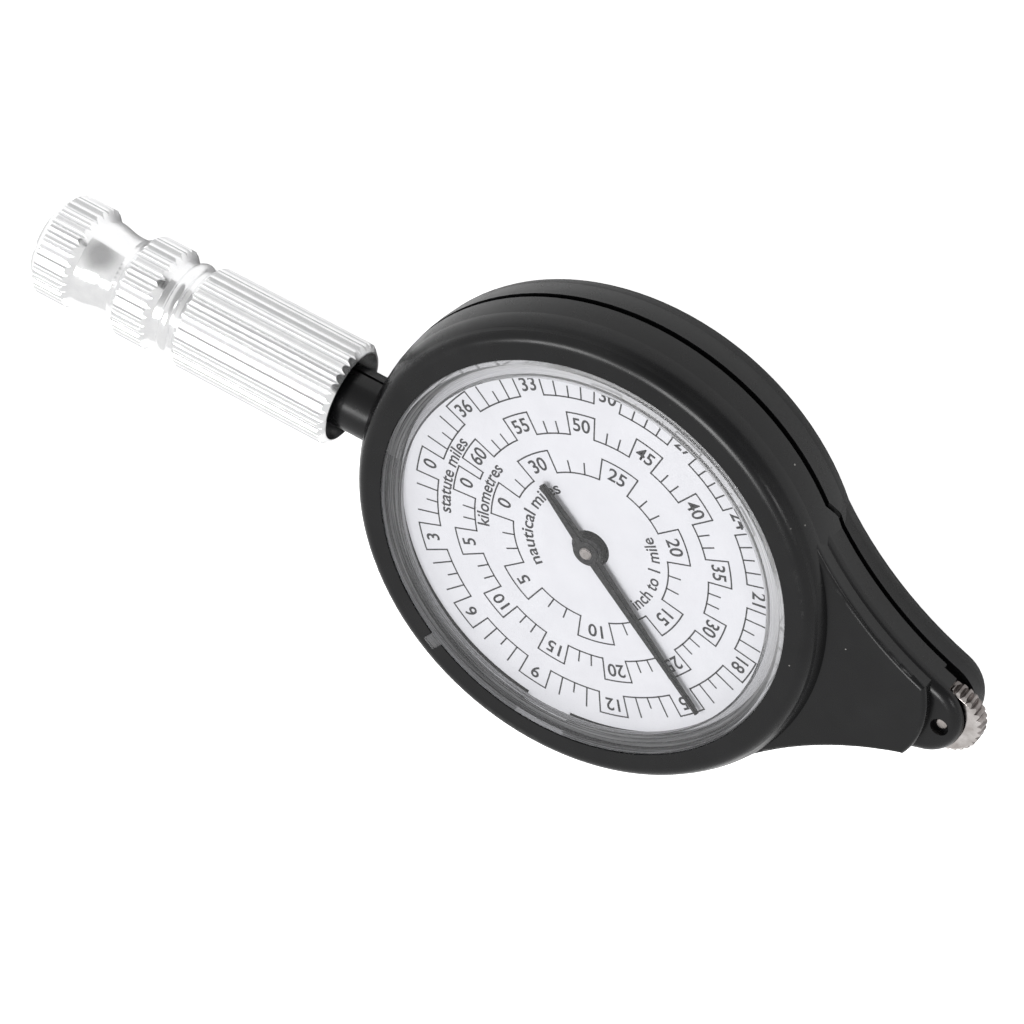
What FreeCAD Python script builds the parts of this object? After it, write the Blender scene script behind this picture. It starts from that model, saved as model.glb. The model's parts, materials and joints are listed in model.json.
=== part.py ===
import FreeCAD, Part
import math
import os

# Hand-held map measuring wheel (opisometer): a toothed wheel in the nose is rolled along a
# map and turns a single hand over three distance scales through a 48:1 spur gear train.
#
# Units are millimetres. +Z points out of the dial, +X runs from the dial centre to the wheel.
# Heights are written from the centreline of the handle. The stored origin is under it, where
# the hand's axis meets the flat back, so the finished sub-parts are lifted by -BACK_Z.

os.makedirs("parts", exist_ok=True)

# ---------------------------------------------------------------- case
BACK_Z = -5.0                # flat back
BEZEL_Z = 5.1                # flat top of the bezel
TAIL_Z = 3.25                # flat top of the tail
NOSE_Z = 2.2                 # lowered top of the nose, and the ledge round the tail
SEAM_Z = -0.3                # joint between the covers round the disc
TAIL_SEAM_Z = -1.4           # the same joint along the tail
RAMP_X = (18.5, 19.5)        # where the joint steps down
SEAM_GAP = 0.62              # shadow gap between the covers
LAP = 1.15                   # height of the rear cover's lip inside the front cover
LAP_CLEARANCE = 0.05
FLOOR_Z = -4.0               # inside of the back
EDGE_R = 2.4                 # rounding of the back edge

DISC_REAR_R = 23.4           # just above the back rounding
DISC_SIDE_R = 23.6           # widest point
DISC_SIDE_Z = 0.1
DISC_SHOULDER_R = 23.3       # top of the bulged side
DISC_SHOULDER_Z = 2.5
SHOULDER_BEND = 0.1          # how far the shoulder bows out between side and bezel
SLOPE_FOOT_R = 22.75         # foot of the bezel's sloping side
BEZEL_FLAT_R = 21.5          # outer edge of the bezel's flat top
BEZEL_EDGE_R = 1.25          # rounding between flat top and sloping side
BEZEL_SLOPE = 62.0           # steepness of the sloping side, in degrees
DISC_LIP_R = 22.6            # outside of the lip
DISC_INNER_R = 22.0          # inside of the disc wall

TAIL_DISC_R = 23.08          # circle the flared tail leaves from
FLARE_R = 34.0               # concave side of the tail
NOSE_X = 32.25               # centre of the rounded nose
NOSE_R = 3.78
TAIL_LEDGE = 0.22            # ledge round the foot of the tail's raised top
TAIL_REAR_SPREAD = 0.17      # how far the rear cover's tail stands outside the raised top
LEDGE_EDGE_R = 1.1
TAIL_EDGE_R = 0.45
TAIL_LIP_INSET = 0.6         # outline to the outside of the lip
TAIL_WALL = 0.85             # outline to the inside of the wall
TAIL_ROOF = 1.15
TAIL_START_X = 14.0          # the tail is built from here on
PLATEAU_X = 24.5             # centre of the arc that ends the tail's raised top
PLATEAU_R = 8.8
PLATEAU_ARC_X = 28.4         # beyond here the arc trims the raised top

STEM_R = 3.0                 # round stem, half on each cover
STEM_X = (-34.0, -21.5)
STEM_GROOVE = 0.3

# ---------------------------------------------------------------- dial and window
DIAL_Z = 2.45                # printed face
DIAL_T = 0.4
DIAL_R = 19.0
DIAL_HOLE_R = 1.85
DIAL_TAB_R = 19.8
DIAL_TAB_HALF_ANGLE = 6.5
DIAL_ROOF_Z = 1.6            # underside of the shelf that carries the dial
WELL_R = 19.15
CRYSTAL_SEAT_Z = 3.5
CRYSTAL_R = 20.0
CRYSTAL_Z = 5.3
CRYSTAL_T = 1.0
CRYSTAL_RIM_R = 18.3         # inside of the crystal's rim
CRYSTAL_BEVEL = 0.3
SEAT_CLEARANCE = 0.05
SEAT_FILM = 0.02             # glue under the crystal's rim
NIB_ANGLE = -124.0           # moulding nib on the crystal's rim, let into the bezel
NIB_RADII = (19.5, 21.0)
NIB_WIDTH = 1.3
NIB_BOTTOM_Z = 4.8

# ---------------------------------------------------------------- gear train
BACKLASH = 0.05              # added to each centre distance
ADDENDUM = 0.8               # tooth heights and half thicknesses, in modules
DEDENDUM = 1.15
TOOTH_ROOT = 0.88
TOOTH_PITCH = 0.70
TOOTH_TIP = 0.33
ROOT_LIMIT = 0.42            # widest half tooth at the root, as a share of the tooth spacing
STAGES = (                   # module, teeth driving, teeth driven
    (0.30, 8, 20),
    (0.35, 12, 48),
    (0.45, 15, 72),
)


def centre_distance(stage):
    module, driving, driven = stage
    return module * (driving + driven) / 2 + BACKLASH


ARBOR_2_X = centre_distance(STAGES[2])
ARBOR_1_X = ARBOR_2_X + centre_distance(STAGES[1])
WHEEL_X = ARBOR_1_X + centre_distance(STAGES[0])

WHEEL_PINION_Z = (-1.95, -0.95)
GEAR_1_Z = (-1.8, -1.1)
PINION_1_Z = (-3.1, -1.8)
GEAR_2_Z = (-2.9, -2.2)
PINION_2_Z = (-2.2, -0.9)
GEAR_3_Z = (-1.75, -1.05)

ARBOR_R = 0.5
BEARING_R = 0.55             # running fit for the arbors
BEARING_BOTTOM_Z = -4.55
CENTRE_ARBOR_R = 0.6
CENTRE_BEARING_R = 0.65
ARBOR_BEVEL = 0.12
END_PLAY = 0.05
FIRST_ARBOR_TOP_Z = 1.8
GEAR_CLEARANCE = 0.15        # round the gears that run in pockets
RELIEF_Z = -3.1              # floor of the pocket for the large intermediate gear
CENTRE_GEAR_HOLES = (9.3, 3.4)    # circle they stand on, their radius
SECOND_GEAR_HOLES = (5.2, 1.6)
HOLES = 6
CENTRE_HUB = (2.0, GEAR_3_Z[0] - 0.6, GEAR_3_Z[1] + 0.35)    # radius, bottom, top

REAR_BOSS_R = 1.2            # bearing bosses on the back
REAR_BOSS_TOP_Z = -3.3
CENTRE_BOSS_R = 1.4          # bearing boss under the dial
CENTRE_BOSS_Z = 1.2
FIRST_BOSS_R = 1.5           # bearing boss under the tail's roof
FIRST_BOSS_Z = 1.1
ROOT = 0.3                   # bosses and posts reach this far into the wall they stand on

# ---------------------------------------------------------------- measuring wheel
WHEEL_ROLLING_R = 3.285      # 20.64 mm round: 1/48 of 39 inches
WHEEL_Z = (-0.8, 1.0)
WHEEL_TEETH = 30
WHEEL_TOOTH_DEPTH = 0.3
WHEEL_CREST = 0.16           # half width of a crest, as a share of the tooth spacing
WHEEL_BEVEL = (0.35, 0.25)   # bevel of the rim: inwards, upwards
WHEEL_SLOT_R = 3.65
WHEEL_SLOT_TOP_Z = 1.25
SKIRT_END_X = 32.6           # the front cover's skirt stops short of the wheel here
SKIRT_END_Z = -0.3
AXLE_R = 0.6
AXLE_BEARING_R = 0.65
AXLE_Z = (-4.5, 1.65)
AXLE_RECESS_R = 0.85
AXLE_RECESS_Z = 1.45

# ---------------------------------------------------------------- hand
HAND_ANGLE = -38.7           # rest position, from +X
HAND_Z = 2.9
HAND_T = 0.2
HAND_RIB = 0.14
RIB_SHARE = 0.45             # width of the rib as a share of the blade
HUB_R = 1.4
COLLAR_R = 1.1
POINTER_LENGTH = 17.6
TAIL_LENGTH = 7.2
POINTER_WIDTHS = (1.25, 0.42)
TAIL_WIDTHS = (1.2, 0.6)
BUSH_R = 1.0
BUSH_FOOT_R = 1.3
BUSH_FOOT_T = 0.3
PIN_TOP_Z = 3.5

# ---------------------------------------------------------------- movement plate and screws
PLATE_Z = (-0.3, 0.5)
PLATE_R = 20.9
POST_R = 1.5
POST_CIRCLE_R = 19.2
POST_ANGLES = (90, 270, 180)
BOSS_R = 1.9
BOSS_CIRCLE_R = 19.3
BOSS_ANGLES = (35.5, -35.5, 135, -135)
BOSS_MEET_Z = -1.0
CASE_SCREW_HEAD_R = 1.35
CASE_SCREW_HEAD_Z = (-4.7, -3.8)
CASE_SCREW_SHANK_R = 0.7
CASE_SCREW_TOP_Z = 1.2
CASE_SCREW_SINK_R = 1.5
SCREW_CLEARANCE = 0.1
BOSS_CLEARANCE = 0.2         # round the bosses where they pass the plate
PLATE_SCREW_HEAD_R = 1.1
PLATE_SCREW_HEAD_T = 0.6
PLATE_SCREW_SHANK_R = 0.5
PLATE_SCREW_BOTTOM_Z = -2.6
SLOT_WIDTH = 0.35
SLOT_DEPTH = 0.3
CROSS_LENGTH = 1.7

# ---------------------------------------------------------------- handle
FLUTES = 30
FLUTE_R = 5.0                # crest of the flutes
FLUTE_DEPTH = 0.42
CREST_SHARE = 0.14           # half width of a crest, as a share of the flute spacing
FLANK_SHARE = 0.34           # where the flute's side bends
FLANK_DEPTH = 0.15
BARREL_X = (-42.9, -26.5)
BARREL_BEVEL = 0.55
BARREL_BORE_R = 4.3
BARREL_BORE_END_X = -37.5
SPIGOT_R = 2.0
PLUG_X = (-36.5, -27.8)
PLUG_WALL_END_X = -34.2
KNOB_X = (-59.45, -53.85)
COLLAR_X = (-49.65, -45.35)
FACE_R = 4.25                # end faces of knob and collar
NECK_R = 4.15                # plain neck next to the barrel
BEAD_R = 4.55
WAIST_R = 3.88
HEAD_BEVEL = 0.7
KNOB_DOME = 1.9              # length of the knob's rounded end

Z_AXIS = FreeCAD.Vector(0, 0, 1)
X_AXIS = FreeCAD.Vector(1, 0, 0)
TOP = 12.0                   # clear above everything
BOTTOM = -12.0               # clear below everything
FAR = 60.0                   # clear beyond the sides


# ================================================================ basic shapes
def polar(radius, degrees, z=0.0):
    angle = math.radians(degrees)
    return FreeCAD.Vector(radius * math.cos(angle), radius * math.sin(angle), z)


def cylinder(radius, low, high, x=0.0, y=0.0):
    return Part.makeCylinder(radius, high - low, FreeCAD.Vector(x, y, low))


def rod(radius, start_x, end_x):
    return Part.makeCylinder(radius, end_x - start_x, FreeCAD.Vector(start_x, 0, 0), X_AXIS)


def box(x_range, y_range, z_range):
    corner = FreeCAD.Vector(x_range[0], y_range[0], z_range[0])
    return Part.makeBox(
        x_range[1] - x_range[0],
        y_range[1] - y_range[0],
        z_range[1] - z_range[0],
        corner,
    )


def turned(axis, start, *steps):
    """Solid of revolution about an axis from a profile in the XZ plane.

    A step is an end point, or a point to pass through followed by an end point (an arc)."""
    edges = []
    here = FreeCAD.Vector(start[0], 0, start[1])
    for step in steps:
        end = FreeCAD.Vector(step[-2], 0, step[-1])
        if len(step) == 4:
            through = FreeCAD.Vector(step[0], 0, step[1])
            edges.append(Part.Arc(here, through, end).toShape())
        else:
            edges.append(Part.makeLine(here, end))
        here = end
    edges.append(Part.makeLine(here, FreeCAD.Vector(start[0], 0, start[1])))
    face = Part.Face(Part.Wire(edges))
    return face.revolve(FreeCAD.Vector(0, 0, 0), axis, 360)


def prism(points, low, high):
    """Upright prism over a polygon of (x, y) points."""
    corners = [FreeCAD.Vector(x, y, low) for x, y in points]
    wire = Part.makePolygon(corners + corners[:1])
    return Part.Face(wire).extrude(FreeCAD.Vector(0, 0, high - low))


def fuse_all(shapes):
    return shapes[0].multiFuse(shapes[1:]).removeSplitter()


# ================================================================ case outline
def tail_face(inset, z):
    """Outline of disc, flared tail and nose, moved inwards by inset."""
    disc = TAIL_DISC_R - inset
    nose = NOSE_R - inset
    flare = FLARE_R + inset
    to_disc = TAIL_DISC_R + FLARE_R
    to_nose = NOSE_R + FLARE_R
    centre_x = (to_disc**2 - to_nose**2 + NOSE_X**2) / (2 * NOSE_X)
    centre = FreeCAD.Vector(centre_x, math.sqrt(to_disc**2 - centre_x**2), z)
    origin = FreeCAD.Vector(0, 0, z)
    nose_centre = FreeCAD.Vector(NOSE_X, 0, z)
    to_origin = (origin - centre).normalize()
    to_nose_centre = (nose_centre - centre).normalize()
    on_disc = origin - to_origin * disc
    on_nose = nose_centre - to_nose_centre * nose
    on_flare = centre + (to_origin + to_nose_centre).normalize() * flare

    def mirrored(point):
        return FreeCAD.Vector(point.x, -point.y, point.z)

    edges = [
        Part.Arc(mirrored(on_disc), origin - X_AXIS * disc, on_disc),
        Part.Arc(on_disc, on_flare, on_nose),
        Part.Arc(on_nose, nose_centre + X_AXIS * nose, mirrored(on_nose)),
        Part.Arc(mirrored(on_nose), mirrored(on_flare), mirrored(on_disc)),
    ]
    return Part.Face(Part.Wire([edge.toShape() for edge in edges]))


def tail_prism(inset, low, high):
    whole = tail_face(inset, low).extrude(FreeCAD.Vector(0, 0, high - low))
    return whole.common(box((TAIL_START_X, FAR), (-FAR, FAR), (BOTTOM, TOP)))


def below_joint(rise):
    """Everything below the joint between the covers, raised by rise."""
    low = FreeCAD.Vector(-FAR, -FAR, BOTTOM)
    corners = [
        low,
        FreeCAD.Vector(-FAR, -FAR, SEAM_Z + rise),
        FreeCAD.Vector(RAMP_X[0], -FAR, SEAM_Z + rise),
        FreeCAD.Vector(RAMP_X[1], -FAR, TAIL_SEAM_Z + rise),
        FreeCAD.Vector(FAR, -FAR, TAIL_SEAM_Z + rise),
        FreeCAD.Vector(FAR, -FAR, BOTTOM),
        low,
    ]
    return Part.Face(Part.makePolygon(corners)).extrude(FreeCAD.Vector(0, 2 * FAR, 0))


def disc_solid():
    """The round part of the case: back rounding, bulged side, shoulder and sloping bezel."""
    diagonal = EDGE_R * (1 - math.sqrt(0.5))

    def on_edge(tilt):
        lean = math.radians(tilt)
        r = BEZEL_FLAT_R + BEZEL_EDGE_R * math.sin(lean)
        return r, BEZEL_Z - BEZEL_EDGE_R * (1 - math.cos(lean))

    slope_r, slope_z = on_edge(BEZEL_SLOPE)
    foot_z = slope_z - (SLOPE_FOOT_R - slope_r) * math.tan(math.radians(BEZEL_SLOPE))
    shoulder_r = (DISC_SHOULDER_R + SLOPE_FOOT_R) / 2 + SHOULDER_BEND
    shoulder_z = (DISC_SHOULDER_Z + foot_z) / 2 + SHOULDER_BEND
    return turned(
        Z_AXIS,
        (0, BACK_Z),
        (DISC_REAR_R - EDGE_R, BACK_Z),
        (DISC_REAR_R - diagonal, BACK_Z + diagonal, DISC_REAR_R, BACK_Z + EDGE_R),
        (DISC_SIDE_R, DISC_SIDE_Z, DISC_SHOULDER_R, DISC_SHOULDER_Z),
        (shoulder_r, shoulder_z, SLOPE_FOOT_R, foot_z),
        (slope_r, slope_z),
        (*on_edge(BEZEL_SLOPE / 2), BEZEL_FLAT_R, BEZEL_Z),
        (0, BEZEL_Z),
    )


def lip_solid(clearance):
    """The region inside the outer half of the wall, up to the top of the rear cover's lip."""
    round_part = cylinder(DISC_LIP_R + clearance, FLOOR_Z, TOP)
    tail_part = tail_prism(TAIL_LIP_INSET - clearance, FLOOR_Z, TOP)
    return round_part.fuse(tail_part).common(below_joint(LAP + clearance))


def inside(clearance, low, disc_high, tail_high):
    """The room inside the walls, drawn in by clearance."""
    round_part = cylinder(DISC_INNER_R - clearance, low, disc_high)
    return round_part.fuse(tail_prism(TAIL_WALL + clearance, low, tail_high))


def top_edges(shape, z):
    """The edges round the top of an upright prism, without its flat inner end."""
    return [
        edge
        for edge in shape.Edges
        if edge.BoundBox.ZMin > z - 0.01 and edge.BoundBox.XLength > 0.01
    ]


def nib(clearance, high):
    """Block on the rim of the crystal, where its mould was filled."""
    block = box(
        (NIB_RADII[0], NIB_RADII[1] + clearance),
        (-NIB_WIDTH / 2 - clearance, NIB_WIDTH / 2 + clearance),
        (NIB_BOTTOM_Z - clearance, high),
    )
    block.rotate(FreeCAD.Vector(0, 0, 0), Z_AXIS, NIB_ANGLE)
    return block


def dial_tab(radius, half_angle, low, high):
    """Sector of a disc about -Y."""
    corners = [(0, 0)]
    for angle in (-90 - half_angle, -90 + half_angle):
        x, y, _ = polar(FAR, angle)
        corners.append((x, y))
    return cylinder(radius, low, high).common(prism(corners, low, high))


def wheel_slot():
    """Opening in the nose for the measuring wheel and, below it, its pinion."""
    bottom = TAIL_SEAM_Z
    pinion_r = STAGES[0][0] * (STAGES[0][1] / 2 + 1) + GEAR_CLEARANCE
    pinion_room = cylinder(pinion_r, WHEEL_PINION_Z[0] - GEAR_CLEARANCE, bottom, WHEEL_X)
    front_room = box((SKIRT_END_X, FAR), (-FAR, FAR), (bottom, SKIRT_END_Z))
    return cylinder(WHEEL_SLOT_R, bottom, WHEEL_SLOT_TOP_Z, WHEEL_X).fuse([pinion_room, front_room])


# ================================================================ covers
def front_cover():
    """Bezel, dial shelf, raised tail and nose, and the upper half of the wall."""
    stem = rod(STEM_R, *STEM_X).common(box((-FAR, 0), (-FAR, FAR), (SEAM_Z, TOP)))
    stem_groove = box(
        (STEM_X[0], -DISC_REAR_R),
        (-FAR, FAR),
        (SEAM_Z, SEAM_Z + STEM_GROOVE),
    ).cut(box((-FAR, FAR), (STEM_GROOVE - STEM_R, STEM_R - STEM_GROOVE), (BOTTOM, TOP)))

    # a ledge runs round the foot of the tail; its raised top ends in an arc before the nose
    base = tail_prism(-TAIL_LEDGE, BOTTOM, NOSE_Z)
    base = base.makeFillet(LEDGE_EDGE_R, top_edges(base, NOSE_Z))
    beyond = box((PLATEAU_ARC_X, FAR), (-FAR, FAR), (BOTTOM, TOP))
    raised = tail_prism(0, BOTTOM, TAIL_Z)
    raised = raised.cut(beyond.cut(cylinder(PLATEAU_R, BOTTOM, TOP, PLATEAU_X)))
    raised = raised.makeFillet(TAIL_EDGE_R, top_edges(raised, TAIL_Z))

    roof_z = TAIL_Z - TAIL_ROOF
    shell = disc_solid().fuse([base, raised]).cut(below_joint(SEAM_GAP))
    shell = shell.cut(inside(0, BOTTOM, DIAL_ROOF_Z, roof_z))
    nose_block = tail_prism(TAIL_LIP_INSET, WHEEL_SLOT_TOP_Z, (roof_z + NOSE_Z) / 2)
    additions = [nose_block.common(cylinder(NOSE_R, BOTTOM, TOP, NOSE_X)), stem]
    for angle in BOSS_ANGLES:
        x, y, _ = polar(BOSS_CIRCLE_R, angle)
        additions.append(cylinder(BOSS_R, BOSS_MEET_Z, roof_z + ROOT, x, y))
    additions.append(cylinder(CENTRE_BOSS_R, CENTRE_BOSS_Z, DIAL_ROOF_Z + ROOT))
    additions.append(cylinder(FIRST_BOSS_R, FIRST_BOSS_Z, roof_z + ROOT, ARBOR_1_X))
    shell = shell.fuse(additions)
    lip_room = lip_solid(LAP_CLEARANCE).cut(inside(LAP_CLEARANCE, BOTTOM, TOP, TOP))
    shell = shell.cut(lip_room)

    well_floor = DIAL_Z - DIAL_T
    cuts = [
        stem_groove,
        cylinder(WELL_R, well_floor, TOP),
        cylinder(CRYSTAL_R + SEAT_CLEARANCE, CRYSTAL_SEAT_Z - SEAT_FILM, TOP),
        dial_tab(DIAL_TAB_R + 0.1, DIAL_TAB_HALF_ANGLE + 0.5, well_floor, CRYSTAL_SEAT_Z),
        nib(SEAT_CLEARANCE, TOP),
        cylinder(CENTRE_BEARING_R, BOTTOM, TOP),
        cylinder(BEARING_R, BOTTOM, FIRST_ARBOR_TOP_Z + END_PLAY, ARBOR_1_X),
        cylinder(AXLE_BEARING_R, BOTTOM, TOP, WHEEL_X),
        cylinder(AXLE_RECESS_R, AXLE_RECESS_Z, TOP, WHEEL_X),
        wheel_slot(),
    ]
    for angle in BOSS_ANGLES:
        x, y, _ = polar(BOSS_CIRCLE_R, angle)
        cuts.append(cylinder(CASE_SCREW_SHANK_R, BOTTOM, CASE_SCREW_TOP_Z, x, y))
    return shell.cut(fuse_all(cuts)).removeSplitter()


def rear_cover():
    """Flat back and lower half of the wall, with posts, bosses and bearings inside."""
    tail = tail_prism(-TAIL_REAR_SPREAD, BACK_Z, TOP)
    back_edges = [
        edge
        for edge in tail.Edges
        if edge.BoundBox.ZMax < BACK_Z + 0.01 and edge.BoundBox.XLength > 0.01
    ]
    tail = tail.makeFillet(EDGE_R, back_edges)
    stem = rod(STEM_R, *STEM_X).common(box((-FAR, 0), (-FAR, FAR), (BOTTOM, SEAM_Z)))

    outer = disc_solid().fuse(tail).common(below_joint(0))
    shell = outer.fuse(lip_solid(0))
    shell = shell.cut(inside(0, FLOOR_Z, TOP, TOP))

    additions = [stem]
    for angle in POST_ANGLES:
        x, y, _ = polar(POST_CIRCLE_R, angle)
        additions.append(cylinder(POST_R, FLOOR_Z - ROOT, PLATE_Z[0], x, y))
    for angle in BOSS_ANGLES:
        x, y, _ = polar(BOSS_CIRCLE_R, angle)
        additions.append(cylinder(BOSS_R, FLOOR_Z - ROOT, BOSS_MEET_Z, x, y))
    for x in (0, ARBOR_2_X, ARBOR_1_X, WHEEL_X):
        additions.append(cylinder(REAR_BOSS_R, FLOOR_Z - ROOT, REAR_BOSS_TOP_Z, x))
    shell = shell.fuse(additions)

    # the large intermediate gear nearly fills the tail
    gear_r = STAGES[1][0] * (STAGES[1][2] / 2 + 1) + GEAR_CLEARANCE
    relief = cylinder(gear_r, RELIEF_Z, 0, ARBOR_2_X).cut(cylinder(DISC_INNER_R, BOTTOM, TOP))
    cuts = [
        wheel_slot(),
        cylinder(CENTRE_BEARING_R, BEARING_BOTTOM_Z, 0),
        cylinder(BEARING_R, BEARING_BOTTOM_Z, 0, ARBOR_2_X),
        cylinder(BEARING_R, BEARING_BOTTOM_Z, 0, ARBOR_1_X),
        cylinder(AXLE_BEARING_R, BEARING_BOTTOM_Z, 0, WHEEL_X),
        relief,
    ]
    for angle in POST_ANGLES:
        x, y, _ = polar(POST_CIRCLE_R, angle)
        cuts.append(cylinder(PLATE_SCREW_SHANK_R, PLATE_SCREW_BOTTOM_Z, 0, x, y))
    for angle in BOSS_ANGLES:
        x, y, _ = polar(BOSS_CIRCLE_R, angle)
        cuts.append(cylinder(CASE_SCREW_SHANK_R + SCREW_CLEARANCE, BOTTOM, 0, x, y))
        cuts.append(cylinder(CASE_SCREW_SINK_R, BOTTOM, CASE_SCREW_HEAD_Z[1], x, y))
    return shell.cut(fuse_all(cuts)).removeSplitter()


# ================================================================ dial and window
def crystal():
    """Clear cap with a rim that stands on the seat in the bezel, and its moulding nib."""
    underside = CRYSTAL_Z - CRYSTAL_T
    lens = turned(
        Z_AXIS,
        (0, underside),
        (CRYSTAL_RIM_R - 0.2, underside),
        (CRYSTAL_RIM_R, underside - 0.2),
        (CRYSTAL_RIM_R, CRYSTAL_SEAT_Z),
        (CRYSTAL_R, CRYSTAL_SEAT_Z),
        (CRYSTAL_R, CRYSTAL_Z - CRYSTAL_BEVEL),
        (CRYSTAL_R - CRYSTAL_BEVEL, CRYSTAL_Z),
        (0, CRYSTAL_Z),
    )
    return lens.fuse(nib(0, CRYSTAL_Z)).removeSplitter()


def dial():
    """Thin disc with a tab that keeps it from turning."""
    bottom = DIAL_Z - DIAL_T
    tab = dial_tab(DIAL_TAB_R, DIAL_TAB_HALF_ANGLE, bottom, DIAL_Z)
    plate = cylinder(DIAL_R, bottom, DIAL_Z).fuse(tab)
    return plate.cut(cylinder(DIAL_HOLE_R, BOTTOM, TOP)).removeSplitter()


# ================================================================ hand
def blade(length, root_width, tip_width):
    """Tapered blade along +X with a raised rib along its middle."""
    outline = [
        (0, -root_width / 2),
        (length, -tip_width / 2),
        (length, tip_width / 2),
        (0, root_width / 2),
    ]
    rib = [(x, y * RIB_SHARE) for x, y in outline]
    flat = prism(outline, HAND_Z, HAND_Z + HAND_T)
    return flat.fuse(prism(rib, HAND_Z, HAND_Z + HAND_T + HAND_RIB))


def hand():
    """Pointer and counterweight on one hub, pressed on the centre arbor."""
    pointer = blade(POINTER_LENGTH, *POINTER_WIDTHS)
    counter = blade(TAIL_LENGTH, *TAIL_WIDTHS)
    counter.rotate(FreeCAD.Vector(0, 0, 0), Z_AXIS, 180)
    hub = cylinder(HUB_R, HAND_Z, HAND_Z + HAND_T)
    collar = cylinder(COLLAR_R, HAND_Z, HAND_Z + HAND_T + HAND_RIB)
    shape = fuse_all([hub, collar, pointer, counter]).cut(cylinder(CENTRE_ARBOR_R, BOTTOM, TOP))
    shape.rotate(FreeCAD.Vector(0, 0, 0), Z_AXIS, HAND_ANGLE)
    return shape


def hand_bush():
    """Flanged bush on the arbor, just under the hand."""
    foot_z = DIAL_Z - DIAL_T + END_PLAY
    bush = cylinder(BUSH_R, foot_z, HAND_Z)
    foot = cylinder(BUSH_FOOT_R, foot_z, foot_z + BUSH_FOOT_T)
    return bush.fuse(foot).cut(cylinder(CENTRE_ARBOR_R, BOTTOM, TOP)).removeSplitter()


# ================================================================ gears
def gear(stage, driven, z_range, x, bore_r, hub=None):
    """Spur gear with straight-sided teeth and rounded roots.

    Driving gears point a tooth along -X and driven gears open a gap along +X, so every
    pair is in mesh as built."""
    module, driving_teeth, driven_teeth = stage
    teeth = driven_teeth if driven else driving_teeth
    pitch = module * teeth / 2
    tip = pitch + ADDENDUM * module
    root = pitch - DEDENDUM * module
    step = 360 / teeth
    phase = step / 2 if driven else 180
    half_root = min(math.degrees(TOOTH_ROOT * module / root), ROOT_LIMIT * step)
    half_pitch = math.degrees(TOOTH_PITCH * module / pitch)
    half_tip = math.degrees(TOOTH_TIP * module / tip)
    flank = [(root, half_root), (pitch, half_pitch), (tip, half_tip)]
    points = []
    for index in range(teeth):
        middle = phase + index * step
        for radius, half in flank:
            points.append(polar(radius, middle - half)[:2])
        for radius, half in reversed(flank):
            points.append(polar(radius, middle + half)[:2])
    shape = prism(points, *z_range)
    if hub:
        hub_r, hub_low, hub_high = hub
        shape = shape.fuse(cylinder(hub_r, hub_low, hub_high))
    shape = shape.cut(cylinder(bore_r, BOTTOM, TOP))
    shape.translate(FreeCAD.Vector(x, 0, 0))
    return shape


def lightened(shape, x, circle_r, hole_r):
    """Shape with a ring of round holes about the axis at x."""
    holes = []
    for index in range(HOLES):
        hole_x, hole_y, _ = polar(circle_r, 360 * index / HOLES)
        holes.append(cylinder(hole_r, BOTTOM, TOP, x + hole_x, hole_y))
    return shape.cut(Part.makeCompound(holes))


def measuring_wheel():
    """Toothed wheel with both edges bevelled."""
    low, high = WHEEL_Z
    bevel_in, bevel_up = WHEEL_BEVEL
    points = []
    step = 360 / WHEEL_TEETH
    for index in range(WHEEL_TEETH):
        middle = index * step
        points.append(polar(WHEEL_ROLLING_R - WHEEL_TOOTH_DEPTH, middle - 0.5 * step)[:2])
        points.append(polar(WHEEL_ROLLING_R, middle - WHEEL_CREST * step)[:2])
        points.append(polar(WHEEL_ROLLING_R, middle + WHEEL_CREST * step)[:2])
    toothed = prism(points, low, high)
    blank = turned(
        Z_AXIS,
        (0, low),
        (WHEEL_ROLLING_R - bevel_in, low),
        (WHEEL_ROLLING_R, low + bevel_up),
        (WHEEL_ROLLING_R, high - bevel_up),
        (WHEEL_ROLLING_R - bevel_in, high),
        (0, high),
    )
    wheel = toothed.common(blank).cut(cylinder(AXLE_R, BOTTOM, TOP))
    wheel.translate(FreeCAD.Vector(WHEEL_X, 0, 0))
    return wheel.removeSplitter()


def arbor(radius, x, low, high):
    """Plain pin with a small bevel at each end."""
    inner = radius - ARBOR_BEVEL
    pin = turned(
        Z_AXIS,
        (0, low),
        (inner, low),
        (radius, low + ARBOR_BEVEL),
        (radius, high - ARBOR_BEVEL),
        (inner, high),
        (0, high),
    )
    pin.translate(FreeCAD.Vector(x, 0, 0))
    return pin


# ================================================================ movement plate and screws
def movement_plate():
    """Round plate above the gears, cut away round the case's bosses."""
    plate = cylinder(PLATE_R, *PLATE_Z)
    cuts = [
        cylinder(CENTRE_ARBOR_R + 0.4, BOTTOM, TOP),
        cylinder(BEARING_R, BOTTOM, TOP, ARBOR_2_X),
    ]
    for angle in POST_ANGLES:
        x, y, _ = polar(POST_CIRCLE_R, angle)
        cuts.append(cylinder(PLATE_SCREW_SHANK_R + SCREW_CLEARANCE, BOTTOM, TOP, x, y))
    for angle in BOSS_ANGLES:
        x, y, _ = polar(BOSS_CIRCLE_R, angle)
        cuts.append(cylinder(BOSS_R + BOSS_CLEARANCE, BOTTOM, TOP, x, y))
    return plate.cut(fuse_all(cuts)).removeSplitter()


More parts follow.
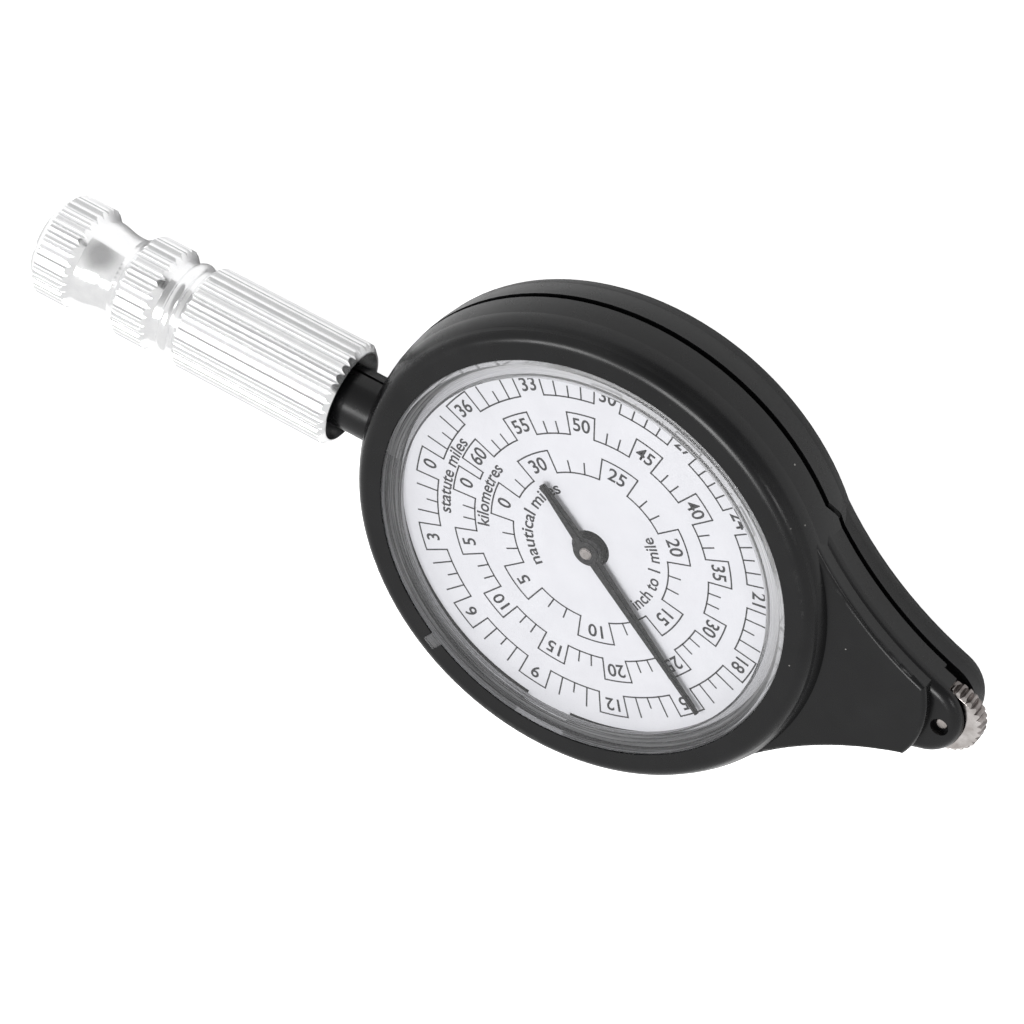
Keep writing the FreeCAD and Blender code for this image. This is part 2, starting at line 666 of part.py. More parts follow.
def plate_screws():
    """Slotted screws that hold the plate on its posts."""
    screws = []
    for angle in POST_ANGLES:
        x, y, _ = polar(POST_CIRCLE_R, angle)
        head_top = PLATE_Z[1] + PLATE_SCREW_HEAD_T
        head = cylinder(PLATE_SCREW_HEAD_R, PLATE_Z[1], head_top, x, y)
        shank = cylinder(PLATE_SCREW_SHANK_R, PLATE_SCREW_BOTTOM_Z, PLATE_Z[1], x, y)
        slot = box(
            (x - PLATE_SCREW_HEAD_R, x + PLATE_SCREW_HEAD_R),
            (y - SLOT_WIDTH / 2, y + SLOT_WIDTH / 2),
            (head_top - SLOT_DEPTH, head_top),
        )
        screws.append(head.fuse(shank).cut(slot).removeSplitter())
    return Part.makeCompound(screws)


def case_screws():
    """Cross-recessed screws sunk in the back."""
    screws = []
    for angle in BOSS_ANGLES:
        x, y, _ = polar(BOSS_CIRCLE_R, angle)
        low, high = CASE_SCREW_HEAD_Z
        head = cylinder(CASE_SCREW_HEAD_R, low, high, x, y)
        shank = cylinder(CASE_SCREW_SHANK_R, high, CASE_SCREW_TOP_Z, x, y)
        half_long = CROSS_LENGTH / 2
        half_wide = SLOT_WIDTH / 2
        recess = box(
            (x - half_long, x + half_long), (y - half_wide, y + half_wide), (low, low + SLOT_DEPTH)
        ).fuse(
            box(
                (x - half_wide, x + half_wide),
                (y - half_long, y + half_long),
                (low, low + SLOT_DEPTH),
            )
        )
        screws.append(head.fuse(shank).cut(recess).removeSplitter())
    return Part.makeCompound(screws)


# ================================================================ handle
def fluted(profile):
    """A turned shape with straight flutes cut along X; they run out at its bevels."""
    step = 360 / FLUTES
    points = []
    for index in range(FLUTES):
        middle = index * step
        points.append(polar(FLUTE_R - FLUTE_DEPTH, middle - 0.5 * step))
        points.append(polar(FLUTE_R - FLANK_DEPTH, middle - FLANK_SHARE * step))
        points.append(polar(FLUTE_R, middle - CREST_SHARE * step))
        points.append(polar(FLUTE_R, middle + CREST_SHARE * step))
        points.append(polar(FLUTE_R - FLANK_DEPTH, middle + FLANK_SHARE * step))
    corners = [FreeCAD.Vector(-FAR, point.x, point.y) for point in points]
    face = Part.Face(Part.makePolygon(corners + corners[:1]))
    return face.extrude(FreeCAD.Vector(FAR, 0, 0)).common(profile)


def handle_barrel():
    """Fluted sleeve, bored for the plug, with a hole in its end for the head's spigot."""
    far_x, near_x = BARREL_X
    body = fluted(
        turned(
            X_AXIS,
            (far_x, 0),
            (far_x, FLUTE_R - BARREL_BEVEL),
            (far_x + BARREL_BEVEL, FLUTE_R),
            (near_x - BARREL_BEVEL, FLUTE_R),
            (near_x, FLUTE_R - BARREL_BEVEL),
            (near_x, 0),
        )
    )
    bore = rod(BARREL_BORE_R, BARREL_BORE_END_X, 0)
    return body.cut(bore).cut(rod(SPIGOT_R, -FAR, 0)).removeSplitter()


def handle_head():
    """Knob and collar, both fluted, on one turned core with a waist and a bead."""
    knob_start, knob_end = KNOB_X
    collar_start, collar_end = COLLAR_X
    knob = fluted(
        turned(
            X_AXIS,
            (knob_start, 0),
            (knob_start + 0.2 * KNOB_DOME, 0.5 * FLUTE_R, knob_start + 0.8 * KNOB_DOME, 4.45),
            (knob_start + KNOB_DOME, FLUTE_R),
            (knob_end - HEAD_BEVEL, FLUTE_R),
            (knob_end, FACE_R),
            (knob_end, 0),
        )
    )
    collar = fluted(
        turned(
            X_AXIS,
            (collar_start, 0),
            (collar_start, FACE_R),
            (collar_start + HEAD_BEVEL, FLUTE_R),
            (collar_end - HEAD_BEVEL, FLUTE_R),
            (collar_end, FACE_R),
            (collar_end, 0),
        )
    )
    core_start = knob_start + KNOB_DOME / 2
    spigot_end = BARREL_BORE_END_X - 1.1
    core = turned(
        X_AXIS,
        (core_start, 0),
        (core_start, WAIST_R),
        (knob_end, FACE_R),
        (knob_end + 0.8, FACE_R - 0.05, knob_end + 1.5, FACE_R - 0.2),
        (collar_start - 1.6, WAIST_R, collar_start - 0.6, WAIST_R + 0.04),
        (collar_start, FACE_R),
        (collar_end, FACE_R),
        (collar_end + 0.6, NECK_R),
        (collar_end + 1.25, BEAD_R, collar_end + 1.9, NECK_R),
        (BARREL_X[0], NECK_R),
        (BARREL_X[0], SPIGOT_R),
        (spigot_end - 0.4, SPIGOT_R),
        (spigot_end, SPIGOT_R - 0.4),
        (spigot_end, 0),
    )
    return fuse_all([core, collar, knob])


def handle_plug():
    """Cup-shaped bush pressed into the barrel; the stem is pressed into the bush."""
    return rod(BARREL_BORE_R, *PLUG_X).cut(rod(STEM_R, PLUG_WALL_END_X, 0))


# ================================================================ every sub-part
centre_gear = gear(STAGES[2], True, GEAR_3_Z, 0, CENTRE_ARBOR_R, CENTRE_HUB)
second_gear = gear(STAGES[1], True, GEAR_2_Z, ARBOR_2_X, ARBOR_R)
arbor_foot = BEARING_BOTTOM_Z + END_PLAY

PARTS = {
    "front_cover": front_cover(),
    "rear_cover": rear_cover(),
    "crystal": crystal(),
    "dial": dial(),
    "hand": hand(),
    "hand_bush": hand_bush(),
    "centre_arbor": arbor(CENTRE_ARBOR_R, 0, arbor_foot, PIN_TOP_Z),
    "centre_gear": lightened(centre_gear, 0, *CENTRE_GEAR_HOLES),
    "second_arbor": arbor(ARBOR_R, ARBOR_2_X, arbor_foot, PLATE_Z[1] + ROOT),
    "second_gear": lightened(second_gear, ARBOR_2_X, *SECOND_GEAR_HOLES),
    "second_pinion": gear(STAGES[2], False, PINION_2_Z, ARBOR_2_X, ARBOR_R),
    "first_arbor": arbor(ARBOR_R, ARBOR_1_X, arbor_foot, FIRST_ARBOR_TOP_Z),
    "first_gear": gear(STAGES[0], True, GEAR_1_Z, ARBOR_1_X, ARBOR_R),
    "first_pinion": gear(STAGES[1], False, PINION_1_Z, ARBOR_1_X, ARBOR_R),
    "wheel_axle": arbor(AXLE_R, WHEEL_X, *AXLE_Z),
    "measuring_wheel": measuring_wheel(),
    "wheel_pinion": gear(STAGES[0], False, WHEEL_PINION_Z, WHEEL_X, AXLE_R),
    "movement_plate": movement_plate(),
    "plate_screws": plate_screws(),
    "case_screws": case_screws(),
    "handle_barrel": handle_barrel(),
    "handle_head": handle_head(),
    "handle_plug": handle_plug(),
}

for name, shape in PARTS.items():
    shape.translate(FreeCAD.Vector(0, 0, -BACK_Z))
    shape.exportStep("parts/" + name + ".step")
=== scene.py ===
import json
import math

import bmesh
import bpy
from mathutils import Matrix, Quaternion, Vector


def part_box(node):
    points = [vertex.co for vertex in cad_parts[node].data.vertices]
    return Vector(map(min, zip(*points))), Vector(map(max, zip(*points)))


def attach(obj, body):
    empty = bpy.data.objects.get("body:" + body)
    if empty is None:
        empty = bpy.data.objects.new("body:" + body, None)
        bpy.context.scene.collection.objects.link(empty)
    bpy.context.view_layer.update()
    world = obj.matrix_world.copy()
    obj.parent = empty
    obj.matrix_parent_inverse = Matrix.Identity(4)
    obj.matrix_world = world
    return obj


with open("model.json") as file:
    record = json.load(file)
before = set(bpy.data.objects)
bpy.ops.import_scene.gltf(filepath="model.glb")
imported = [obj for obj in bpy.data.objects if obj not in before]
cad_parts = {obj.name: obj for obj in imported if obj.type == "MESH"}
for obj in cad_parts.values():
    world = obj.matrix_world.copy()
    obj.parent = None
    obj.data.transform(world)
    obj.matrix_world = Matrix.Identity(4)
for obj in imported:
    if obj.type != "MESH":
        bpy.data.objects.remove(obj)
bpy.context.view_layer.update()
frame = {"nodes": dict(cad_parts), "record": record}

MM = 0.001
NODES = frame["nodes"]

# ---------------------------------------------------------------- dial print
PRINT_UNIT = 15.4 * MM       # radius of the outer scale's base line
LINE = 0.145 * MM            # width of a printed line
INK = 0.012 * MM             # the ink stands this proud of the card
FIGURE_HEIGHT = 1.32 * MM
FIGURE_WIDTH = 0.80 * MM     # of a nought
STROKE = 0.014               # thickening of the lettering, in ems
ZERO_ANGLE = 180.0           # the zeros face the handle; readings grow anticlockwise

# per scale: divisions per turn, base line radius, label step, last label,
# half width of a label cell, and tick offsets from a label with their lengths
SCALES = (
    {"turn": 39.0, "base": 1.0, "step": 3, "last": 36, "half": 0.5,
     "ticks": ((1.0, 0.135), (1.5, 0.07), (2.0, 0.135)), "after_last": ()},
    {"turn": 62.76, "base": 0.754, "step": 5, "last": 60, "half": 1.0,
     "ticks": ((2.0, 0.075), (3.0, 0.075)), "after_last": ()},
    {"turn": 33.89, "base": 0.500, "step": 5, "last": 30, "half": 1.0,
     "ticks": ((2.0, 0.075), (3.0, 0.075)), "after_last": ((2.0, 0.075),)},
)
CELL_HEIGHT = 0.146
FIGURE_BASE = 0.031          # foot of the figures above the base line

# text, foot radius, middle angle, angular span, tops outwards
LEGENDS = (
    ("statute miles", 0.914, 179.7, 34.5, True),
    ("kilometres", 0.663, 179.8, 38.5, True),
    ("nautical miles", 0.373, 179.6, 94.0, True),
    ("inch to 1 mile", 0.447, 3.5, 76.0, False),
)
LEGEND_HEIGHT = 1.2 * MM

# ---------------------------------------------------------------- camera
CAMERA_TARGET = Vector((-7.9, -0.5, 7.95)) * MM
CAMERA_DISTANCE = 426.1 * MM
CAMERA_AZIMUTH = 157.95
CAMERA_ELEVATION = 44.92
CAMERA_ROLL = -136.06
CAMERA_LENS = 170.76

# ---------------------------------------------------------------- light
SURROUND = 0.74              # strength of the even white surround
DIM_SURROUND = 0.3           # of the surround behind the camera
DIM_ELEVATION = 25.0         # middle of the dim patch
DIM_EDGE = (0.6, 0.9)        # cosines of the angles where the dim patch begins and is full
FLOOR_GLOW = 1.0             # added where the camera sees the floor directly
LIGHTS = (                   # name, direction, distance and size in metres, power in watts
    ("overhead", (0.0, 0.0, 1.0), 0.7, 0.26, 2.1),
    ("handle side", (-0.44, -0.03, 0.9), 0.7, 0.18, 1.1),
    ("nose", (1.0, 0.5, 0.6), 0.8, 0.16, 0.45),
)

# ---------------------------------------------------------------- window's rim and floor
RIM_EDGE = (18.1 * MM, 18.2 * MM)    # the haze sets in between these radii
HAZE_DEPTH = (0.35 * MM, 0.2 * MM)   # full and gone at these depths under the window's top
FLOOR_HALF = 3.0                     # half the floor's side, in metres
FLOOR_DROP = 0.02 * MM               # the floor lies this far under the instrument


# ================================================================ node helpers
class Shader:
    """A material with a Principled shader, and short calls for the nodes that feed it."""

    def __init__(self, name, **settings):
        self.material = bpy.data.materials.new(name)
        self.material.use_nodes = True
        self.tree = self.material.node_tree
        self.bsdf = self.tree.nodes["Principled BSDF"]
        self.output = self.tree.nodes["Material Output"]
        coordinates = self.tree.nodes.new("ShaderNodeTexCoord")
        self.object_space = coordinates.outputs["Object"]
        self.object_normal = coordinates.outputs["Normal"]
        for key, value in settings.items():
            self.set(key.replace("_", " "), value)

    def set(self, socket, value):
        self.bsdf.inputs[socket].default_value = value

    def join(self, source, target):
        self.tree.links.new(source, target)

    def scaled(self, x, y=None, z=None):
        """Object coordinates with x, y and z periods per millimetre."""
        mapping = self.tree.nodes.new("ShaderNodeMapping")
        y = x if y is None else y
        z = x if z is None else z
        mapping.inputs["Scale"].default_value = (x / MM, y / MM, z / MM)
        self.join(self.object_space, mapping.inputs["Vector"])
        return mapping.outputs["Vector"]

    def noise(self, vector, detail=3.0, roughness=0.55):
        node = self.tree.nodes.new("ShaderNodeTexNoise")
        node.inputs["Scale"].default_value = 1.0
        node.inputs["Detail"].default_value = detail
        node.inputs["Roughness"].default_value = roughness
        self.join(vector, node.inputs["Vector"])
        return node.outputs["Fac"]

    def cells(self, vector):
        node = self.tree.nodes.new("ShaderNodeTexVoronoi")
        node.inputs["Scale"].default_value = 1.0
        self.join(vector, node.inputs["Vector"])
        return node.outputs["Distance"]

    def remap(self, value, low, high, out_low=0.0, out_high=1.0):
        node = self.tree.nodes.new("ShaderNodeMapRange")
        node.inputs["From Min"].default_value = low
        node.inputs["From Max"].default_value = high
        node.inputs["To Min"].default_value = out_low
        node.inputs["To Max"].default_value = out_high
        self.join(value, node.inputs["Value"])
        return node.outputs["Result"]

    def math(self, operation, a, b=None):
        node = self.tree.nodes.new("ShaderNodeMath")
        node.operation = operation
        self.join(a, node.inputs[0])
        if b is not None:
            self.join(b, node.inputs[1])
        return node.outputs["Value"]

    def product(self, a, b):
        return self.math("MULTIPLY", a, b)

    def maximum(self, a, b):
        return self.math("MAXIMUM", a, b)

    def cylindrical(self):
        """Radius, angle and height of a point about the Z axis."""
        parts = self.tree.nodes.new("ShaderNodeSeparateXYZ")
        self.join(self.object_space, parts.inputs["Vector"])
        x, y, z = (parts.outputs[axis] for axis in "XYZ")
        radius = self.math("SQRT", self.math("ADD", self.product(x, x), self.product(y, y)))
        return radius, self.math("ARCTAN2", y, x), z

    def joined(self, x, y, z, scale):
        """Three values as one scaled vector."""
        vector = self.tree.nodes.new("ShaderNodeCombineXYZ")
        for value, axis in ((x, "X"), (y, "Y"), (z, "Z")):
            self.join(value, vector.inputs[axis])
        mapping = self.tree.nodes.new("ShaderNodeMapping")
        mapping.inputs["Scale"].default_value = scale
        self.join(vector.outputs["Vector"], mapping.inputs["Vector"])
        return mapping.outputs["Vector"]

    def mix_shaders(self, factor, first, second):
        node = self.tree.nodes.new("ShaderNodeMixShader")
        self.join(factor, node.inputs["Fac"])
        self.join(first, node.inputs[1])
        self.join(second, node.inputs[2])
        return node.outputs["Shader"]

    def blend(self, factor, first, second):
        """Colour first where factor is 0 and second where it is 1; each a colour or a socket."""
        node = self.tree.nodes.new("ShaderNodeMix")
        node.data_type = "RGBA"
        self.join(factor, node.inputs["Factor"])
        for value, socket in ((first, node.inputs[6]), (second, node.inputs[7])):
            if isinstance(value, tuple):
                socket.default_value = (*value, 1.0)
            else:
                self.join(value, socket)
        return node.outputs[2]

    def rounded_edges(self, radius_mm):
        node = self.tree.nodes.new("ShaderNodeBevel")
        node.samples = 6
        node.inputs["Radius"].default_value = radius_mm * MM
        return node.outputs["Normal"]

    def bump(self, height, strength, distance_mm, normal=None):
        node = self.tree.nodes.new("ShaderNodeBump")
        node.inputs["Strength"].default_value = strength
        node.inputs["Distance"].default_value = distance_mm * MM
        self.join(height, node.inputs["Height"])
        if normal is not None:
            self.join(normal, node.inputs["Normal"])
        return node.outputs["Normal"]

    def feed(self, socket, source):
        self.join(source, self.bsdf.inputs[socket])


# ================================================================ materials
def case_plastic():
    """Moulded black ABS: semi-gloss, faint flow marks, a few dust specks and fine scratches."""
    m = Shader("case_plastic", IOR=1.4)
    flow = m.noise(m.scaled(0.12, 0.12, 0.3), 3.0)
    colour = m.blend(m.remap(flow, 0.3, 0.7), (0.0035, 0.0035, 0.0038), (0.0065, 0.0065, 0.007))
    grains = m.remap(m.cells(m.scaled(0.55)), 0.045, 0.06, 1.0, 0.0)
    sparse = m.remap(m.noise(m.scaled(0.21), 1.0), 0.55, 0.6)
    specks = m.product(grains, sparse)
    m.feed("Base Color", m.blend(specks, colour, (0.25, 0.24, 0.23)))
    m.feed("Roughness", m.remap(m.noise(m.scaled(0.5), 4.0), 0.3, 0.7, 0.22, 0.3))
    grained = m.bump(m.noise(m.scaled(5.0), 2.0), 0.05, 0.015)
    hairs = m.remap(m.noise(m.scaled(0.25, 6.0, 6.0), 2.0), 0.68, 0.74, 0.0, 1.0)
    m.feed("Normal", m.bump(hairs, 0.05, 0.015, grained))
    return m.material


def bush_plastic():
    """Matt black plastic with a coarser grain than the case."""
    m = Shader("bush_plastic", Roughness=0.5)
    tone = m.noise(m.scaled(0.8))
    m.feed("Base Color", m.blend(tone, (0.008, 0.008, 0.009), (0.02, 0.02, 0.021)))
    m.feed("Normal", m.bump(m.noise(m.scaled(9.0)), 0.2, 0.02, m.rounded_edges(0.08)))
    return m.material


def window_glass():
    """Clear moulded acrylic over the dial; its rim is hazy and streaked, and its haze carries
    painted light on the near side and painted shade on the far side.
    """
    m = Shader("window", IOR=1.49)
    m.set("Transmission Weight", 1.0)
    m.feed("Base Color", m.blend(m.noise(m.scaled(0.1)), (0.985, 0.99, 0.995), (1.0, 1.0, 1.0)))
    m.feed("Normal", m.bump(m.noise(m.scaled(0.18), 1.0), 0.02, 0.05))
    m.feed("Roughness", m.remap(m.noise(m.scaled(1.4, 0.5, 1.0), 5.0), 0.66, 0.8, 0.01, 0.1))

    radius, angle, height = m.cylindrical()
    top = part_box("crystal")[1].z
    in_rim = m.remap(radius, *RIM_EDGE)
    below_top = m.remap(height, top - HAZE_DEPTH[0], top - HAZE_DEPTH[1], 1.0, 0.0)
    streaks = m.noise(m.joined(radius, angle, height, (7.0 / MM, 1.3, 7.0 / MM)), 4.0)
    spread = m.remap(streaks, 0.35, 0.65)
    # painted light and shade: the rim's haze is coloured pale on the side towards the camera and
    # dark on the side away from it
    near = math.radians(CAMERA_AZIMUTH - 90.0)
    away = m.remap(angle, -math.pi, math.pi, -math.pi - near, math.pi - near)
    painted_light_side_mask = m.remap(m.math("COSINE", away), 0.0, 0.8)
    painted_far_shade_tone = m.blend(spread, (0.12, 0.12, 0.125), (0.55, 0.55, 0.565))
    painted_near_light_tone = m.blend(spread, (0.85, 0.85, 0.87), (1.0, 1.0, 1.0))
    haze = m.tree.nodes.new("ShaderNodeBsdfDiffuse")
    m.join(m.blend(painted_light_side_mask, painted_far_shade_tone, painted_near_light_tone), haze.inputs["Color"])
    share = m.product(m.product(in_rim, below_top), m.remap(streaks, 0.3, 0.7, 0.4, 0.8))
    rim = m.mix_shaders(share, m.bsdf.outputs["BSDF"], haze.outputs["BSDF"])

    clear = m.tree.nodes.new("ShaderNodeBsdfTransparent")
    rays = m.tree.nodes.new("ShaderNodeLightPath")
    passing = m.maximum(rays.outputs["Is Shadow Ray"], rays.outputs["Is Diffuse Ray"])
    m.join(m.mix_shaders(passing, rim, clear.outputs["BSDF"]), m.output.inputs["Surface"])
    return m.material


def dial_white():
    """Matt white card, barely mottled."""
    m = Shader("dial_white", Roughness=0.55)
    tone = m.noise(m.scaled(0.3), 4.0)
    m.feed("Base Color", m.blend(m.remap(tone, 0.3, 0.7), (0.66, 0.66, 0.695), (0.70, 0.70, 0.735)))
    m.feed("Normal", m.bump(m.noise(m.scaled(12.0)), 0.15, 0.01))
    return m.material


def ink():
    """Black printing ink, slightly worn."""
    m = Shader("dial_ink", Roughness=0.45)
    worn = m.remap(m.noise(m.scaled(3.0), 4.0), 0.35, 0.75)
    m.feed("Base Color", m.blend(worn, (0.012, 0.012, 0.014), (0.035, 0.035, 0.04)))
    return m.material


def hand_paint():
    """Blackened sheet metal, paler in rubbed patches."""
    m = Shader("hand_paint", Metallic=0.55)
    rubbed = m.remap(m.noise(m.scaled(2.2), 5.0), 0.45, 0.8)
    m.feed("Base Color", m.blend(rubbed, (0.012, 0.012, 0.013), (0.06, 0.058, 0.058)))
    m.feed("Roughness", m.remap(m.noise(m.scaled(5.0)), 0.3, 0.7, 0.32, 0.5))
    m.feed("Normal", m.bump(m.noise(m.scaled(11.0)), 0.25, 0.015, m.rounded_edges(0.05)))
    return m.material


def metal(name, dark, light, roughness, edge_mm, streak, wear=0.3, metallic=1.0):
    """Bright metal with fine tool marks; streak gives their periods per millimetre."""
    m = Shader(name, Metallic=metallic)
    tone = m.remap(m.noise(m.scaled(0.9), 5.0), 0.3, 0.7)
    m.feed("Base Color", m.blend(tone, dark, light))
    marks = m.noise(m.scaled(*streak), 2.0)
    m.feed("Roughness", m.remap(marks, 0.3, 0.7, *roughness))
    m.feed("Normal", m.bump(marks, wear, 0.006, m.rounded_edges(edge_mm)))
    return m.material


def wheel_nickel():
    """Nickel plating: bright on the flat faces, with painted shade darkening the toothed rim."""
    m = Shader("wheel_nickel", Metallic=1.0)
    tone = m.remap(m.noise(m.scaled(0.9), 5.0), 0.3, 0.7)
    face = m.blend(tone, (0.52, 0.48, 0.46), (0.82, 0.78, 0.76))
    # painted shade: the toothed rim, picked out by its sideways normals, takes a much darker colour
    # than the faces
    rim = m.blend(tone, (0.10, 0.09, 0.085), (0.34, 0.31, 0.30))
    parts = m.tree.nodes.new("ShaderNodeSeparateXYZ")
    m.join(m.object_normal, parts.inputs["Vector"])
    unshaded_face_mask = m.remap(m.math("ABSOLUTE", parts.outputs["Z"]), 0.3, 0.8)
    m.feed("Base Color", m.blend(unshaded_face_mask, rim, face))
    marks = m.noise(m.scaled(6), 2.0)
    m.feed("Roughness", m.remap(marks, 0.3, 0.7, 0.1, 0.22))
    m.feed("Normal", m.bump(marks, 0.3, 0.006, m.rounded_edges(0.05)))
    return m.material


def gear_plastic():
    """Off-white moulded plastic that lets a little light through."""
    m = Shader("gear_plastic", Roughness=0.45)
    m.feed("Base Color", m.blend(m.noise(m.scaled(0.4)), (0.74, 0.73, 0.68), (0.84, 0.83, 0.79)))
    m.set("Subsurface Weight", 0.1)
    m.set("Subsurface Radius", (0.4 * MM, 0.4 * MM, 0.3 * MM))
    m.feed("Normal", m.bump(m.noise(m.scaled(6.0)), 0.1, 0.01, m.rounded_edges(0.05)))
    return m.material


MATERIALS = {
    "case_plastic": case_plastic(),
    "bush_plastic": bush_plastic(),
    "window": window_glass(),
    "dial_white": dial_white(),
    "hand_paint": hand_paint(),
    "pin_steel": metal(
        "pin_steel", (0.36, 0.33, 0.31), (0.56, 0.52, 0.50), (0.24, 0.42), 0.05, (9, 9, 1)
    ),
    "wheel_nickel": wheel_nickel(),
    "gear_plastic": gear_plastic(),
    "pinion_brass": metal(
        "pinion_brass", (0.55, 0.40, 0.16), (0.80, 0.62, 0.30), (0.2, 0.36), 0.03, (1, 1, 9)
    ),
    "plate_brass": metal(
        "plate_brass", (0.62, 0.46, 0.20), (0.80, 0.64, 0.34), (0.22, 0.4), 0.1, (0.6, 12, 12)
    ),
    "screw_steel": metal(
        "screw_steel", (0.42, 0.42, 0.43), (0.68, 0.68, 0.70), (0.22, 0.4), 0.06, (8, 8, 8)
    ),
    "handle_aluminium": metal(
        "handle_aluminium",
        (0.93, 0.93, 0.94),
        (0.99, 0.99, 0.99),
        (0.08, 0.16),
        0.05,
        (9, 0.7, 0.7),
        wear=0.06,
        metallic=0.85,
    ),
}


def finish_cad_nodes():
    """Every CAD node takes the procedural material of its slot in the record."""
    for part in frame["record"]["subparts"]:
        mesh = NODES[part["node"]].data
        mesh.materials.clear()
        mesh.materials.append(MATERIALS[part["material_slot"]])


# ================================================================ dial print
def on_dial(radius, degrees):
    angle = math.radians(degrees)
    return Vector((radius * math.cos(angle), radius * math.sin(angle), 0.0))


def arc_line(bm, radius, start, end):
    """Printed arc between two angles, in degrees, start below end."""
    steps = max(1, math.ceil((end - start) / 2.0))
    previous = None
    for index in range(steps + 1):
        degrees = start + (end - start) * index / steps
        inner = bm.verts.new(on_dial(radius - LINE / 2, degrees))
        outer = bm.verts.new(on_dial(radius + LINE / 2, degrees))
        if previous:
            bm.faces.new((previous[0], previous[1], outer, inner))
        previous = (inner, outer)


def radial_line(bm, low, high, degrees):
    """Printed radial stroke, squared off half a line beyond each end."""
    across = on_dial(1, degrees + 90) * (LINE / 2)
    foot = on_dial(low - LINE / 2, degrees)
    head = on_dial(high + LINE / 2, degrees)
    corners = (foot - across, head - across, head + across, foot + across)
    bm.faces.new([bm.verts.new(corner) for corner in corners])


def text_mesh(text):
    """Flat mesh of a line of text in Blender's own font."""
    curve = bpy.data.curves.new("lettering", "FONT")
    curve.body = text
    curve.offset = STROKE
    curve.resolution_u = 4
    holder = bpy.data.objects.new("lettering", curve)
    bpy.context.scene.collection.objects.link(holder)
    bpy.context.view_layer.update()
    evaluated = holder.evaluated_get(bpy.context.evaluated_depsgraph_get())
    mesh = bpy.data.meshes.new_from_object(evaluated)
    bpy.data.objects.remove(holder)
    bpy.data.curves.remove(curve)
    return mesh


def extent(mesh, axis):
    values = [vertex.co[axis] for vertex in mesh.vertices]
    return min(values), max(values)


def nought_size():
    """Width and height of a nought in Blender's own font, as drawn by text_mesh."""
    mesh = text_mesh("0")
    left, right = extent(mesh, 0)
    top = extent(mesh, 1)[1]
    bpy.data.meshes.remove(mesh)
    return right - left, top


NOUGHT_WIDTH, NOUGHT_HEIGHT = nought_size()


def add_text(bm, text, foot, degrees, height, width=None, outwards=True):
    """Text bent round the dial: its foot on a radius, its middle at an angle."""
    mesh = text_mesh(text)
    left, right = extent(mesh, 0)
    stretch = width / (right - left) if width else FIGURE_WIDTH / NOUGHT_WIDTH
    side = 1 if outwards else -1
    for vertex in mesh.vertices:
        along = (vertex.co.x - (left + right) / 2) * stretch
        radius = foot + side * vertex.co.y / NOUGHT_HEIGHT * height
        vertex.co = on_dial(radius, degrees - side * math.degrees(along / foot))
    bm.from_mesh(mesh)
    bpy.data.meshes.remove(mesh)


def scale_print(bm, scale):
    """One distance scale: boxed figures, ticks and the base line between the boxes."""
    base = scale["base"] * PRINT_UNIT
    top = base + CELL_HEIGHT * PRINT_UNIT
    turn = scale["turn"]
    half = scale["half"]
    figures = range(0, scale["last"] + 1, scale["step"])

    def angle(value):
        return ZERO_ANGLE + value / turn * 360.0

    for figure in figures:
        start, end = angle(figure - half), angle(figure + half)
        radial_line(bm, base, top, start)
        radial_line(bm, base, top, end)
        arc_line(bm, top, start, end)
        following = turn if figure == scale["last"] else figure + scale["step"]
        arc_line(bm, base, end, angle(following - half))
        ticks = scale["ticks"]
        if figure == scale["last"] and scale["step"] != 3:
            ticks = scale["after_last"]
        for offset, length in ticks:
            radial_line(bm, base, base + length * PRINT_UNIT, angle(figure + offset))
        add_text(bm, str(figure), base + FIGURE_BASE * PRINT_UNIT, angle(figure), FIGURE_HEIGHT)


def dial_print():
    """The dial's printed scales, figures and unit names, as one thin skin of ink."""
    bm = bmesh.new()
    for scale in SCALES:
        scale_print(bm, scale)
    for text, foot, degrees, span, outwards in LEGENDS:
        foot_radius = foot * PRINT_UNIT
        width = math.radians(span) * foot_radius
        add_text(bm, text, foot_radius, degrees, LEGEND_HEIGHT, width, outwards)
    mesh = bpy.data.meshes.new("dial_print")
    bm.to_mesh(mesh)
    bm.free()
    mesh.materials.append(ink())
    piece = bpy.data.objects.new("dial_print", mesh)
    bpy.context.scene.collection.objects.link(piece)
    piece.location.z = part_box("dial")[1].z + INK
    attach(piece, "case")
    return piece


# ================================================================ stage
def floor():
    """Plain pale floor just under the instrument's back."""
    mesh = bpy.data.meshes.new("floor")
    half = FLOOR_HALF
    corners = [(-half, -half, 0), (half, -half, 0), (half, half, 0), (-half, half, 0)]
    mesh.from_pydata(corners, [], [(0, 1, 2, 3)])
    m = Shader("floor", Roughness=0.9)
    m.feed("Base Color", m.blend(m.noise(m.scaled(0.02)), (0.84, 0.84, 0.84), (0.87, 0.87, 0.87)))
    seen = m.tree.nodes.new("ShaderNodeLightPath").outputs["Is Camera Ray"]
    m.set("Emission Color", (1.0, 1.0, 1.0, 1.0))
    m.feed("Emission Strength", m.remap(seen, 0.0, 1.0, 0.0, FLOOR_GLOW))
    mesh.materials.append(m.material)
    piece = bpy.data.objects.new("floor", mesh)
    bpy.context.scene.collection.objects.link(piece)
    piece.location.z = -FLOOR_DROP


def area_light(name, direction, distance, size, power):
    """Square soft box that faces the instrument from a direction; the window doesn't mirror it."""
    data = bpy.data.lights.new(name, "AREA")
    data.size = size
    data.energy = power
    light = bpy.data.objects.new(name, data)
    bpy.context.scene.collection.objects.link(light)
    away = Vector(direction).normalized()
    light.location = away * distance
    light.rotation_mode = "QUATERNION"
    light.rotation_quaternion = (-away).to_track_quat("-Z", "Y")
    unlit = bpy.data.collections.new(name + " unlit")
    unlit.objects.link(NODES["crystal"])
    unlit.collection_objects[0].light_linking.link_state = "EXCLUDE"
    light.light_linking.receiver_collection = unlit


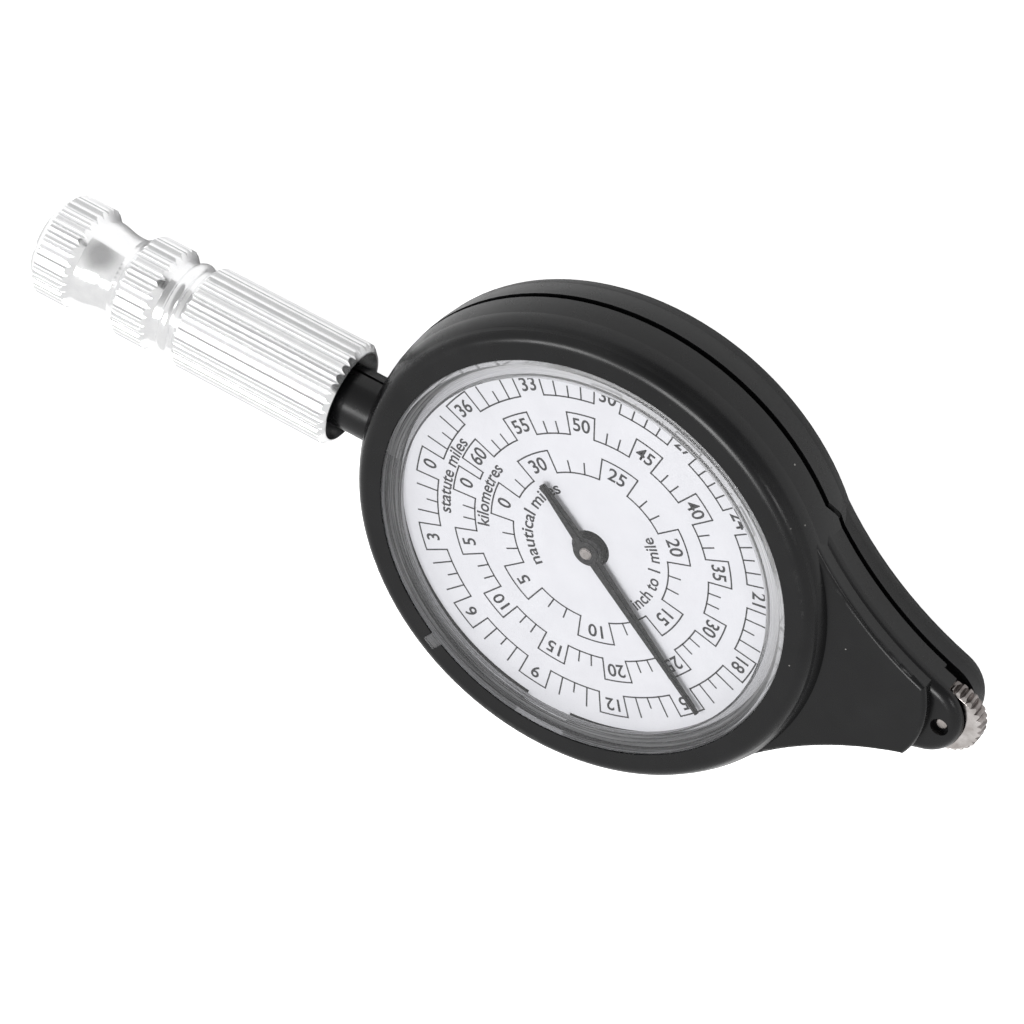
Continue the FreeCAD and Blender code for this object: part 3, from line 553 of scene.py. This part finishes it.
def studio():
    """An even white surround, dim behind the camera, with a soft box overhead."""
    world = bpy.data.worlds.new("studio")
    world.use_nodes = True
    tree = world.node_tree
    direction = tree.nodes.new("ShaderNodeTexCoord").outputs["Generated"]
    towards = tree.nodes.new("ShaderNodeVectorMath")
    towards.operation = "DOT_PRODUCT"
    towards.inputs[1].default_value = camera_side(DIM_ELEVATION)
    strength = tree.nodes.new("ShaderNodeMapRange")
    strength.inputs["From Min"].default_value = DIM_EDGE[0]
    strength.inputs["From Max"].default_value = DIM_EDGE[1]
    strength.inputs["To Min"].default_value = SURROUND
    strength.inputs["To Max"].default_value = DIM_SURROUND
    background = tree.nodes["Background"]
    background.inputs["Color"].default_value = (1.0, 1.0, 1.0, 1.0)
    tree.links.new(direction, towards.inputs[0])
    tree.links.new(towards.outputs["Value"], strength.inputs["Value"])
    tree.links.new(strength.outputs["Result"], background.inputs["Strength"])
    bpy.context.scene.world = world
    for light in LIGHTS:
        area_light(*light)


def camera_side(elevation_degrees):
    """Unit vector from the instrument to the camera's side at an elevation."""
    azimuth = math.radians(CAMERA_AZIMUTH)
    elevation = math.radians(elevation_degrees)
    return Vector((
        math.sin(azimuth) * math.cos(elevation),
        -math.cos(azimuth) * math.cos(elevation),
        math.sin(elevation),
    ))


def camera():
    """The camera, at a fixed distance from its target and turned about its own axis."""
    back = camera_side(CAMERA_ELEVATION)
    data = bpy.data.cameras.new("camera")
    data.lens = CAMERA_LENS
    data.sensor_width = 36.0
    data.clip_start = 0.01
    holder = bpy.data.objects.new("camera", data)
    bpy.context.scene.collection.objects.link(holder)
    holder.location = CAMERA_TARGET + back * CAMERA_DISTANCE
    holder.rotation_mode = "QUATERNION"
    level = (-back).to_track_quat("-Z", "Y")
    holder.rotation_quaternion = Quaternion(back, math.radians(CAMERA_ROLL)) @ level
    bpy.context.scene.camera = holder


# ================================================================ the scene
finish_cad_nodes()
dial_print()
floor()
studio()
camera()
bpy.context.scene.view_settings.view_transform = "Standard"
